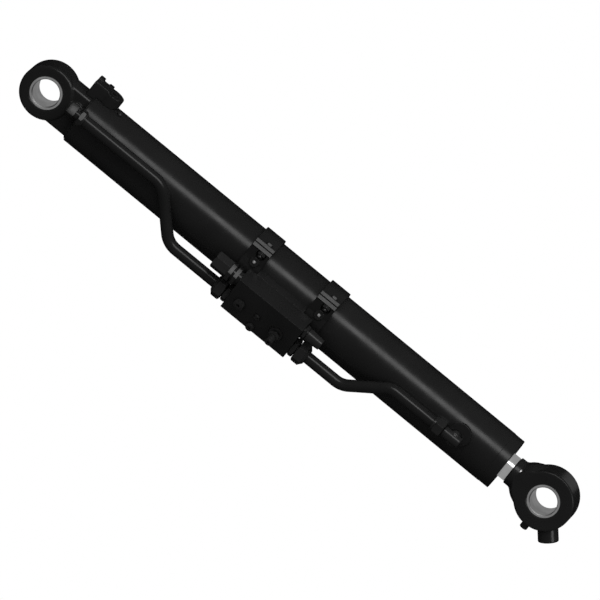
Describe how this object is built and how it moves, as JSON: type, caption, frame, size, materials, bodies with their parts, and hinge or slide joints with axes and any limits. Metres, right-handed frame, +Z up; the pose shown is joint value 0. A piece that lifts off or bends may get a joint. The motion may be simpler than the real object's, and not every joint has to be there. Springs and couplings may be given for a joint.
{
  "type": "hydraulic cylinder",
  "caption": "Double-acting hydraulic cylinder with bushed pin eyes, a chromed sliding rod, steel lines and a load-holding valve block clamped to its barrel.",
  "frame": {"origin": "centre of the base eye's bore, halfway across the eye", "axes": "+X along the cylinder from the base eye to the rod eye, +Y along the pin bores, +Z up"},
  "size_m": [1.1282, 0.1627, 0.15],
  "materials": {
    "black_paint": "satin-gloss black enamel",
    "black_fittings": "gloss black enamel on forged fittings",
    "chrome_rod": "ground and hard-chromed",
    "bush_steel": "bored, unpainted",
    "machined_steel": "machined",
    "bronze": "machined bronze",
    "seal_polyurethane": "moulded",
    "black_rubber": "moulded"
  },
  "bodies": {
    "barrel": {"base_cap": "black_paint", "barrel_tube": "black_paint", "base_port_block": "black_paint", "gland": "black_paint", "base_line_pipe": "black_paint", "rod_line_pipe": "black_paint", "rod_port_boss": "black_paint", "valve_block": "black_paint", "block_saddle": "black_paint", "clamp_upper_left": "black_paint", "clamp_upper_right": "black_paint", "clamp_lower_left": "black_paint", "clamp_lower_right": "black_paint", "base_port_plug": "black_fittings", "bleed_screw": "black_fittings", "pipe_adapter_left": "black_fittings", "pipe_adapter_right": "black_fittings", "pipe_nut_left": "black_fittings", "pipe_nut_right": "black_fittings", "hose_adapter_left": "black_fittings", "hose_adapter_right": "black_fittings", "hose_union_left": "black_fittings", "hose_union_right": "black_fittings", "base_elbow": "black_fittings", "base_nut": "black_fittings", "rod_elbow": "black_fittings", "rod_nut": "black_fittings", "relief_locknut": "black_fittings", "check_plug": "black_fittings", "gauge_port_plug": "black_fittings", "clamp_bolt_front_left": "black_fittings", "clamp_bolt_front_right": "black_fittings", "clamp_bolt_rear_left": "black_fittings", "clamp_bolt_rear_right": "black_fittings", "clamp_nut_left": "black_fittings", "clamp_nut_right": "black_fittings", "base_eye_bush": "bush_steel", "saddle_screw_left": "machined_steel", "saddle_screw_right": "machined_steel", "relief_sleeve": "machined_steel", "relief_spring": "machined_steel", "check_spring": "machined_steel", "gland_bearing": "bronze", "rod_seal": "seal_polyurethane", "rod_wiper": "black_rubber", "gland_o_ring": "black_rubber"},
    "guides": {"piston_seal": "seal_polyurethane", "piston_wear_ring_back": "bronze", "piston_wear_ring_front": "bronze"},
    "rod": {"piston_rod": "chrome_rod", "piston": "machined_steel", "piston_nut": "machined_steel", "rod_eye": "black_paint", "rod_eye_bush": "bush_steel", "grease_nipple": "black_fittings", "pin_lock_screw": "machined_steel"},
    "check": {"check_poppet": "machined_steel"},
    "relief": {"relief_poppet": "machined_steel"},
    "adjuster": {"relief_adjuster": "black_fittings"},
    "throttle": {"throttle_screw": "black_fittings"}
  },
  "joints": [
    {"name": "rod_slide", "type": "slide", "parent": "barrel", "child": "guides", "axis": [1, 0, 0], "range_m": [0, 0.685]},
    {"name": "rod_turn", "type": "hinge", "parent": "guides", "child": "rod", "pos_m": [0.5, 0, 0], "axis": [1, 0, 0], "continuous": true},
    {"name": "check_lift", "type": "slide", "parent": "barrel", "child": "check", "axis": [0, -0.9063, -0.4226], "range_m": [0, 0.0025], "stiffness_N_per_m": 1500, "springref_m": -0.004, "deforming": ["check_spring"]},
    {"name": "relief_lift", "type": "slide", "parent": "barrel", "child": "relief", "axis": [0, -0.9063, -0.4226], "range_m": [0, 0.002], "stiffness_N_per_m": 3000, "springref_m": -0.005, "deforming": ["relief_spring"]},
    {"name": "relief_set", "type": "hinge", "parent": "barrel", "child": "adjuster", "pos_m": [0.5277, -0.07293, -0.04946], "axis": [0, -0.9063, -0.4226], "range_deg": [-360, 360]},
    {"name": "throttle_set", "type": "hinge", "parent": "barrel", "child": "throttle", "pos_m": [0.488, -0.07378, -0.04764], "axis": [0, -0.9063, -0.4226], "range_deg": [-360, 360]}
  ]
}
